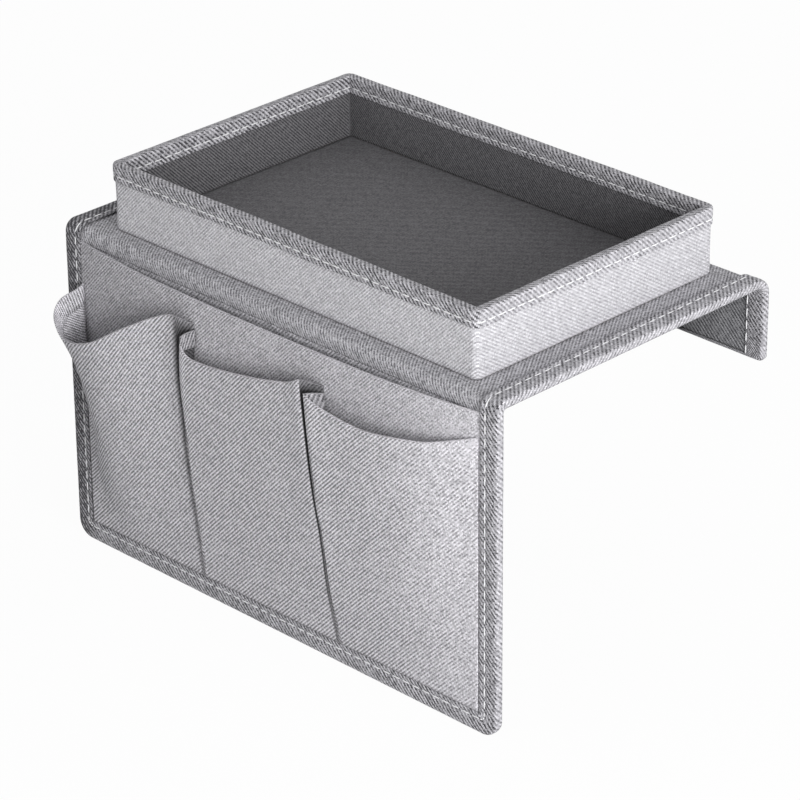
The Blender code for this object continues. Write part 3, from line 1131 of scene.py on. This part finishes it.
# %% Lay the tray's walls
tray_columns = 600
wall_rows = 24
wall_start_drop = 8 * mm
wall_bow_size = 60 * mm
wall_bow = 0.5 * mm
wall_wave_size = 14 * mm
wall_wave = 0.12 * mm
foot_tuck = 0.7 * mm
foot_tuck_reach = 1.6 * mm
right_weave = (-0.75, 1.16)
front_weave = 1.15
first_corner = straight_x + corner_turn / 2
second_corner = first_corner + straight_y + corner_turn


def tray_distance(i):
    return tray_round * i / tray_columns


def wall_lengths(distance, height):
    from_corner = distance - first_corner
    if first_corner < distance < second_corner:
        return right_weave[0] * from_corner, right_weave[1] * height
    return front_weave * from_corner, front_weave * height


def lay_tray_wall(name, off, bottom_drop, finish, inner):
    def drop_of(j):
        share = j / wall_rows if inner else 1 - j / wall_rows
        return wall_start_drop + (bottom_drop - wall_start_drop) * share

    def place(i, j):
        distance, drop = tray_distance(i), drop_of(j)
        flat = tray_point(distance, drop, off)
        height = (bottom_drop - drop) / (bottom_drop - wall_start_drop)
        bow = soft_waves(Vector((flat.x, flat.y, 0)), wall_bow_size, wall_bow)
        bow = bow * math.sin(math.pi * height) + soft_waves(flat, wall_wave_size, wall_wave)
        near_foot = max(0, 1 - (bottom_drop - drop) / foot_tuck_reach)
        tuck = 0 if inner else foot_tuck * near_foot ** 2
        return tray_point(distance, drop, off + bow - tuck)

    def lengths(i, j):
        return wall_lengths(tray_distance(i), -drop_of(j))

    return lay_cloth(name, tray_columns, wall_rows, place, lengths, finish, closed=True)


tray_walls = lay_tray_wall("tray_outer_walls", 0, tray_rim - tray_foot, wall_twill, inner=False)
tray_lining = lay_tray_wall("tray_inner_walls", -tray_wall, tray_rim - tray_floor_top, lining_twill,
                            inner=True)
print("tray walls are", round((tray_rim - tray_foot) / mm, 1), "mm high")

# %% [markdown]
# ## The rim's hem
# The hem is the same folded tape, laid over the rim, so it is made as the tape is: a section that
# is carried round. It is full between its stitches, and its upper edge isn't quite level. Inside,
# at each corner, its columns meet in one line, where no stitch may pull them apart.

# %% Lay the hem and sew it
hem_section_mm = (
    (9.5, 0.12), (9.95, 0.28), (10.0, 0.55), (9.6, 0.80), (8.2, 0.86), (6.7, 0.62), (5.2, 0.90),
    (2.8, 0.96), (0.9, 0.80), (0.10, 0.20), (0.0, -1.00), (0.0, -2.60), (0.10, -3.85),
    (0.9, -4.44), (2.8, -4.58), (5.2, -4.50), (6.7, -4.24), (8.2, -4.46), (9.6, -4.40),
    (10.0, -4.15), (9.95, -3.90), (9.5, -3.74),
)
hem_stitch_drop = 6.7 * mm
hem_outer_height = 0.74 * mm
hem_inner_height = 4.36 * mm
rim_wave_size = 45 * mm
rim_wave = 0.35 * mm
tray_stitch_count = round(tray_round / stitch_pitch)
tray_pitch = tray_round / tray_stitch_count


def lay_tray_hem():
    spots = section_spots(hem_section_mm)
    run = section_lengths(spots)

    def place(i, j):
        distance = tray_distance(i)
        drop, off = spots[j]
        outward = 1 if off > -tray_wall / 2 else -1
        flat = tray_point(distance, drop, off)
        at_x_end = abs(flat.x) > tray_half_x + off - weld
        at_y_end = abs(flat.y) > tray_half_y + off - weld
        pull = 0 if at_x_end and at_y_end else stitch_pull(distance, tray_pitch)
        relief = sewn_relief(flat, drop - hem_stitch_drop, pull)
        lift = soft_waves(Vector((flat.x, flat.y, 0)), rim_wave_size, rim_wave)
        return tray_point(distance, drop - lift, off + outward * relief)

    def lengths(i, j):
        return -tray_distance(i), run[j]

    return lay_cloth("tray_rim_hem_cloth", tray_columns, section_steps, place, lengths, tape_twill,
                     closed=True)


def outside_hem_seam(distance, across, off):
    return tray_point(distance, hem_stitch_drop + across, hem_outer_height + off)


def inside_hem_seam(distance, across, off):
    return tray_point(distance, hem_stitch_drop + across, -hem_inner_height - off)


tray_hem = lay_tray_hem()
tray_middles = [(number + 0.5) * tray_pitch for number in range(tray_stitch_count)]
tray_outer_stitches = sew("tray_outer_stitches", tray_middles, outside_hem_seam)
tray_inner_stitches = sew("tray_inner_stitches", tray_middles, inside_hem_seam)
print("hem sewn with", 2 * tray_stitch_count, "stitches")

# %% [markdown]
# ## The tray's floor
# A plain sheet of the dark lining lies on the floor's board, with a very slight wave.

# %% Lay the tray's floor
floor_half_x = tray_half_x - tray_wall
floor_half_y = tray_half_y - tray_wall
floor_columns = 130
floor_rows = 86
floor_wave_size = 40 * mm
floor_wave = 0.25 * mm


def floor_spot(i, j):
    return floor_half_x * (2 * i / floor_columns - 1), floor_half_y * (2 * j / floor_rows - 1)


def floor_place(i, j):
    flat = Vector((*floor_spot(i, j), tray_floor_top))
    flat.z += soft_waves(flat, floor_wave_size, floor_wave)
    return flat


tray_floor_cloth = lay_cloth("tray_floor_cloth", floor_columns, floor_rows, floor_place, floor_spot,
                             lining_twill)
print("tray floor is", round(2 * floor_half_x / mm), "by", round(2 * floor_half_y / mm), "mm")

# %% [markdown]
# ## The wide pocket
# A wide pocket covers the front, and three small ones are sewn on it side by side. The wide one
# is held at its sides and its bottom by the tape, and stands off the panel most in the middle of
# its mouth, which sags a little there.

# %% Shape the wide pocket
magazine_mouth_drop = 2.8 * mm
magazine_sag = 2.1 * mm
magazine_stand = 5.5 * mm
magazine_flatness = 4
magazine_fall = 2
magazine_margin = 3 * mm
layer_gap = 0.3 * mm
cloth_layer = 0.5 * mm
magazine_face = front_face - layer_gap - cloth_layer
small_face = front_face - 2 * layer_gap - 2 * cloth_layer


def magazine_mouth(x):
    share = min(abs(x) / tape_inner, 1)
    return front_axis.z - magazine_mouth_drop - magazine_sag * (1 - share ** 2)


def magazine_bulge(x, z):
    """How far the wide pocket stands off the panel."""
    share = min(abs(x) / tape_inner, 1)
    top = magazine_mouth(x)
    down = (top - z) / (top - front_bottom - tape_width)
    down = min(max(down, 0), 1)
    return magazine_stand * (1 - share ** magazine_flatness) * (1 - down ** magazine_fall)


def magazine_surface(across, down):
    x = (tape_inner + magazine_margin) * (2 * across - 1)
    top = magazine_mouth(x)
    bottom = front_bottom + tape_width - magazine_margin
    z = top + (bottom - top) * down
    return Vector((x, magazine_face - magazine_bulge(x, z), z))


print("wide pocket stands off", round(magazine_bulge(0, magazine_mouth(0)) / mm, 1), "mm")

# %% [markdown]
# ## The small pockets, drawn
# The small pockets are cut wider than their place, so they bulge. The mouth of each is drawn:
# where it lies across, how far it stands off and how low it hangs, as shares that a smooth curve
# joins. The cloth below falls from the mouth to the bottom seam. Between two pockets the cloth
# makes a pleat that goes back to the seam, and leaves a dark crease. The crease's line is drawn
# too, from the top down, since it leans to the left as it rises. The gap is how wide the crease
# is, at the top and at the bottom.

# %% Draw the small pockets
first_seam = 103 * mm - half_width
second_seam = 199 * mm - half_width
side_margin = 1 * mm
creases = (
    {
        "line_mm": (-58.5, -61.3, -60.8, -60.0, -58.2, -57.8),
        "seam_mm": (-52.0, -54.0, -55.5, -56.5, -57.2, -57.6),
        "gap_mm": (3.2, 0.5),
        "fade_share": 0.06,
        "depths": (0.90, 0.35),
        "depth_power": 1,
    },
    {
        "line_mm": (35.1, 36.5, 38.2, 41.5, 42.6, 45.5),
        "seam_mm": (44.6, 44.0, 43.5, 43.5, 43.8, 46.0),
        "gap_mm": (2.5, 0.3),
        "fade_share": 0.004,
        "depths": (0.98, 0.45),
        "depth_power": 4,
    },
)
pockets = {
    "remote": {
        "ends": (-tape_inner + side_margin, first_seam - layer_gap),
        "corners": (None, 8 / 9),
        "creases": (None, creases[0]),
        "stand": 20 * mm,
        "flare_share": 0.38,
        "across_shares": (0.0, 0.0, -0.07, -0.05, 0.07, 0.30, 0.58, 0.86, 0.985, 1.0),
        "stand_shares": (0.0, 0.20, 0.60, 0.90, 1.0, 0.92, 0.68, 0.42, 0.36, 0.0),
        "mouth_shares": (0.89, 0.96, 1.18, 1.46, 1.72, 1.56, 1.04, 0.56, 0.46, 0.62),
    },
    "middle": {
        "ends": (first_seam + layer_gap, second_seam - layer_gap),
        "corners": (1 / 6, 5 / 6),
        "creases": creases,
        "stand": 8.5 * mm,
        "flare_share": 0.12,
        "across_shares": (0.0, 0.0, 0.07, 0.40, 0.80, 0.95, 1.0),
        "stand_shares": (0.0, 0.80, 0.78, 0.80, 0.88, 1.0, 0.0),
        "mouth_shares": (0.72, 0.82, 1.17, 1.10, 0.82, 0.60, 0.72),
    },
    "right": {
        "ends": (second_seam + layer_gap, tape_inner - side_margin),
        "corners": (1 / 7, None),
        "creases": (creases[1], None),
        "stand": 8.5 * mm,
        "flare_share": 0.12,
        "across_shares": (0.0, 0.0, 0.11, 0.33, 0.55, 0.74, 0.88, 1.0),
        "stand_shares": (0.0, 1.0, 0.94, 0.90, 0.86, 0.62, 0.26, 0.0),
        "mouth_shares": (0.84, 0.82, 0.99, 1.07, 0.98, 0.86, 0.70, 0.55),
    },
}
print("small pockets drawn:", len(pockets))

# %% [markdown]
# ## Bulges and pleats
# A place on a small pocket is a share across it and a share down it. The drawn curves hold at the
# mouth and lose their hold on the way down, which is the wedge. Near a crease the cloth is drawn
# sideways, so that the front of the pocket ends on the crease's line and its very edge on the
# seam.

# %% Shape the small pockets
small_mouth_drop = 30 * mm
flare_power = 5
wedge_power = 1.5
pleat_hollow = 2.5 * mm
right_pleat_power = 2
left_pleat_power = 0.6
seam_half_gap_mm = 0.3
crease_top_drop = 14 * mm
crease_top = front_axis.z - crease_top_drop
pocket_foot = front_bottom + tape_width + layer_gap


def crease_side(crease, z, side):
    """Where a crease's front edge and its seam lie at a height, for the pocket on one side."""
    down = min(max((crease_top - z) / (crease_top - pocket_foot), 0), 1)
    top_gap, bottom_gap = crease["gap_mm"]
    width = top_gap + (bottom_gap - top_gap) * down
    edge = smooth_through(crease["line_mm"], down) + (width if side > 0 else 0)
    seam = smooth_through(crease["seam_mm"], down) + seam_half_gap_mm * side
    return edge * mm, seam * mm


def small_surface(pocket):
    left, right = pocket["ends"]

    def drawn(across, down):
        """The smooth pocket, before its pleats: across, height and wedge."""
        flare = pocket["flare_share"]
        wedge = (1 - flare) * (1 - down ** wedge_power) + flare * (1 - down) ** flare_power
        place = across + (smooth_through(pocket["across_shares"], across) - across) * wedge
        top = front_axis.z - small_mouth_drop * smooth_through(pocket["mouth_shares"], across)
        return left + (right - left) * place, top + (pocket_foot - top) * down, wedge

    def pleat_shift(across, down, z, end):
        """How far a pleat draws the cloth sideways."""
        corner, crease = pocket["corners"][end], pocket["creases"][end]
        if corner is None:
            return 0
        edge, seam = crease_side(crease, z, 1 - 2 * end)
        edge_shift = edge - drawn(corner, down)[0]
        seam_shift = seam - drawn(end, down)[0]
        past = (across - corner) / (end - corner)
        if past <= 0:
            return edge_shift * ease((across - 0.5) / (corner - 0.5))
        if end == 0:
            return edge_shift + (seam_shift - edge_shift) * past ** left_pleat_power
        hollow = pleat_hollow * math.sin(math.pi * past) * (1 - down ** wedge_power)
        return edge_shift + (seam_shift - edge_shift) * past ** right_pleat_power - hollow

    def surface(across, down):
        x, z, wedge = drawn(across, down)
        x += pleat_shift(across, down, z, 0) + pleat_shift(across, down, z, 1)
        stand = pocket["stand"] * smooth_through(pocket["stand_shares"], across) * wedge
        return Vector((x, small_face - (magazine_bulge(x, z) + stand), z))

    return surface


print("creases run from z", round(crease_top / mm), "to", round(pocket_foot / mm), "mm")

# %% [markdown]
# ## Painted shade in the pleats
# Hardly any light gets into a pleat, so painted shade draws its cloth towards black. The shade
# starts at the pocket's corner, fades in just before it, and is deepest a little below the mouth.
# From there it weakens down to the bottom seam, as the crease closes.

# %% Paint shade into the pleats
mouth_shade = 0.68
inside_shade = 0.45
shade_reach = 0.04
left_fade_share = 0.004
fade_loss = 0.7


def pleat_shade(pocket):
    """How much painted shade a place of the pocket gets: 0 on its front, rising to 1 in its pleats.
    """
    def shade(across, down, inside):
        most = 0
        for end in (0, 1):
            corner, crease = pocket["corners"][end], pocket["creases"][end]
            if corner is None:
                continue
            past = (across - corner) * (1 if end else -1)
            fade_share = crease["fade_share"] * (1 - fade_loss * down) if end else left_fade_share
            near = ease((past + fade_share) / fade_share)
            deep = mouth_shade + (1 - mouth_shade) * min(down / shade_reach, 1)
            top_depth, foot_depth = crease["depths"]
            deep *= top_depth + (foot_depth - top_depth) * down ** crease["depth_power"]
            most = max(most, near * (inside_shade if inside else deep))
        return most

    return shade


print("a pleat's inside is shaded by", inside_shade)

# %% [markdown]
# ## Laying the pockets
# A pocket is laid from its bottom seam up to the mouth. There the cloth turns over and runs down
# inside, which gives the edge its thickness. Its rows lie closer together near the mouth, where
# the shape is richest. Soft waves lift it where it hangs free, and die out at its seams. The
# lengths along each row are added up point by point, so that the ribs follow the bulges without
# stretching.

# %% Write the pocket helper
pocket_rows = 90
turn_steps = 5
inside_steps = 5
turned_hem = 9 * mm
hem_fold = 1.0 * mm
row_power = 1.25
probe = 0.004
side_hold_power = 0.5
bottom_hold_power = 3
pocket_wave = 30 * mm
pocket_fine_wave = 12 * mm


def normal_of(surface, across, down):
    a0, a1 = max(across - probe, 0), min(across + probe, 1)
    d0, d1 = max(down - probe, 0), min(down + probe, 1)
    sideways = surface(a1, down) - surface(a0, down)
    upward = surface(across, d0) - surface(across, d1)
    return sideways.cross(upward).normalized()


def lengths_along(spots, columns, rows):
    """How far each spot lies along its row, counted from the middle column."""
    middle = columns // 2
    lengths = {}
    for j in range(rows + 1):
        for way, end in ((1, columns), (-1, 0)):
            run = spots[middle, j].x
            lengths[middle, j] = run
            for i in range(middle + way, end + way, way):
                run += way * (spots[i, j] - spots[i - way, j]).length
                lengths[i, j] = run
    return lengths


def lay_pocket(name, surface, columns, weave, wrinkle, finish, shade=None):
    """A pocket's cloth, from its bottom seam up to the mouth, and over it down the inside."""
    total = pocket_rows + turn_steps + inside_steps
    height = (surface(0.5, 0) - surface(0.5, 1)).length

    def laid(across, down):
        spot = surface(across, down)
        free = math.sin(math.pi * min(max(across, 0), 1)) ** side_hold_power
        free *= 1 - down ** bottom_hold_power
        lift = broad_and_fine_waves(spot, pocket_wave, pocket_fine_wave, wrinkle)
        return spot, normal_of(surface, across, down), lift * free

    def place(i, j):
        across = i / columns
        if j <= pocket_rows:
            spot, out, lift = laid(across, (1 - j / pocket_rows) ** row_power)
            return spot + out * lift
        if j <= pocket_rows + turn_steps:
            turn = math.pi * (j - pocket_rows) / turn_steps
            spot, out, lift = laid(across, 0)
            reach = hem_fold / 2
            up = Vector((0, 0, 1))
            back = lift - reach + reach * math.cos(turn)
            return spot + out * back + up * reach * math.sin(turn)
        drop = turned_hem * (j - pocket_rows - turn_steps) / inside_steps
        spot, out, lift = laid(across, drop / height)
        return spot + out * (lift - hem_fold)

    spots = {(i, j): place(i, j) for i in range(columns + 1) for j in range(total + 1)}
    along = lengths_along(spots, columns, total)

    def lengths(i, j):
        up = spots[i, min(j, pocket_rows)].z
        if j > pocket_rows:
            up += (j - pocket_rows) / (turn_steps + inside_steps) * turned_hem
        return weave * along[i, j], weave * up

    # Painted shade from the pleats, kept in the crease attribute.
    def crease(i, j):
        down = max(1 - j / pocket_rows, 0) ** row_power
        return shade(i / columns, down, j > pocket_rows + turn_steps // 2) if shade else 0

    return lay_cloth(name, columns, total, lambda i, j: spots[i, j], lengths, finish, crease=crease)


print("a pocket has", pocket_rows + turn_steps + inside_steps, "rows of faces")

# %% [markdown]
# ## The four pockets
# The wide pocket is laid first and the three small ones on it. The small ones hang more freely, so
# their waves are deeper. Each prints the size that its cloth is cut to, with the hem turned in.

# %% Lay the pockets
magazine_columns = 150
magazine_weave = 1.13
magazine_wrinkle = 0.25 * mm
small_columns = 110
small_weave = 1
small_wrinkle = 0.5 * mm
magazine_cloth = lay_pocket("magazine_pocket_cloth", magazine_surface, magazine_columns,
                            magazine_weave, magazine_wrinkle, magazine_twill)
small_cloths = {}
for name, pocket in pockets.items():
    small_cloths[name] = lay_pocket(f"{name}_pocket_cloth", small_surface(pocket), small_columns,
                                    small_weave, small_wrinkle, pocket_twill, pleat_shade(pocket))
    width, height = flat_sizes[f"{name}_pocket_cloth"]
    print(name, "pocket is cut", round(width / mm), "by", round(height / mm), "mm")

# %% [markdown]
# ## The boards
# The stiffener boards are hidden in the cloth. They keep their construction solids and get a
# finish of pressed fibres: a warm brown with fine flecks.

# %% Finish the boards
fibre_scale = 700
patch_scale = 60
fibre_dark = (0.30, 0.20, 0.11, 1)
fibre_pale = (0.60, 0.46, 0.30, 1)
board_roughness = 0.85
fibre_strength = 0.4
fibre_depth = 0.1 * mm


def fibreboard():
    finish, tree, shader = new_finish("fibreboard")
    place = tree.nodes.new("ShaderNodeTexCoord")
    fibres = noise_node(tree, place.outputs["Object"], fibre_scale, 6)
    patches = noise_node(tree, place.outputs["Object"], patch_scale, 3)
    share = math_node(tree, "MULTIPLY", math_node(tree, "ADD", fibres, patches), 0.5)
    feed(tree, shader.inputs["Base Color"], mix_colour(tree, share, fibre_dark, fibre_pale))
    shader.inputs["Roughness"].default_value = board_roughness
    bump = tree.nodes.new("ShaderNodeBump")
    bump.inputs["Distance"].default_value = fibre_depth
    bump.inputs["Strength"].default_value = fibre_strength
    feed(tree, bump.inputs["Height"], fibres)
    feed(tree, shader.inputs["Normal"], bump.outputs[0])
    return finish


board_finish = fibreboard()
boards = [name for name in frame["nodes"] if name.endswith("_board")]
for name in boards:
    node = frame["nodes"][name]
    node.data.materials.clear()
    node.data.materials.append(board_finish)
print("boards finished:", len(boards))

# %% [markdown]
# ## What moves with what
# The pieces on the flat panels are tied to the construction model, and each rides on one body.
# The fold pieces stay where they were laid. Where a piece stands for a construction node, that
# node is hidden.

# %% Tie the pieces to the frame
boards_under = {
    "front_fold": ["front_board", "top_board"],
    "back_fold": ["top_board", "flap_board"],
    "front": ["front_board"],
    "top": ["top_board"],
    "flap": ["flap_board"],
}
bodies = {"top": "saddle_top", "front": "front_panel", "flap": "back_flap"}


def place_of(name):
    """The part of the saddle that a tape or a row of stitches lies on, from its name."""
    return next(place for place in boards_under if name.startswith(place))


def tie(piece, place, slot, *nodes):
    if place in bodies:
        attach(piece, bodies[place])
    else:
        start, end = (saddle_point(0, along, 0) for along in cuts[place])
        if place == "front_fold":
            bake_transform(piece)
        else:
            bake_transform(piece)
    if nodes:
        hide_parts(*nodes)


for place in ("top", "front", "flap"):
    tie(panel_cloths[place], place, "outer_fabric", f"{place}_outer_cloth")
for place in ("top", "front", "flap"):
    tie(linings[place], place, "lining_fabric", f"{place}_lining")
for place in ("front_fold", "back_fold"):
    tie(panel_cloths[place], place, "outer_fabric", f"{place}_cloth")
for place in ("front_fold", "back_fold"):
    tie(linings[place], place, "lining_fabric", f"{place}_lining")
for name, piece in tape_pieces.items():
    tie(piece, place_of(name), "binding_fabric", name.replace("tape", "binding"))
for name, piece in seams.items():
    tie(piece, place_of(name), "binding_fabric")
tie(tray_walls, "top", "outer_fabric", "tray_outer_cloth")
tie(tray_lining, "top", "lining_fabric", "tray_wall_lining")
tie(tray_floor_cloth, "top", "lining_fabric", "tray_floor_lining")
tie(tray_hem, "top", "binding_fabric", "tray_rim_hem")
tie(tray_outer_stitches, "top", "binding_fabric")
tie(tray_inner_stitches, "top", "binding_fabric")
tie(magazine_cloth, "front", "outer_fabric", "magazine_pocket")
for name, cloth in small_cloths.items():
    tie(cloth, "front", "outer_fabric", f"{name}_pocket")
print("bodies that carry pieces:", sorted(bodies.values()))

# %% [markdown]
# ## The list of cuts
# Every piece of cloth is listed with the flat size that it is cut to. Cloth hardly stretches, so a
# laid sheet must have nearly the area of its cut.


for name, tape in tape_pieces.items():
    rows_on_it = [seams[stitch_row_name(name, face)] for face in ("outer", "inner")]
    boards_under[place_of(name)]
for name, (width, length) in sorted(flat_sizes.items()):
    print(name, round(width / mm), "by", round(length / mm), "mm")
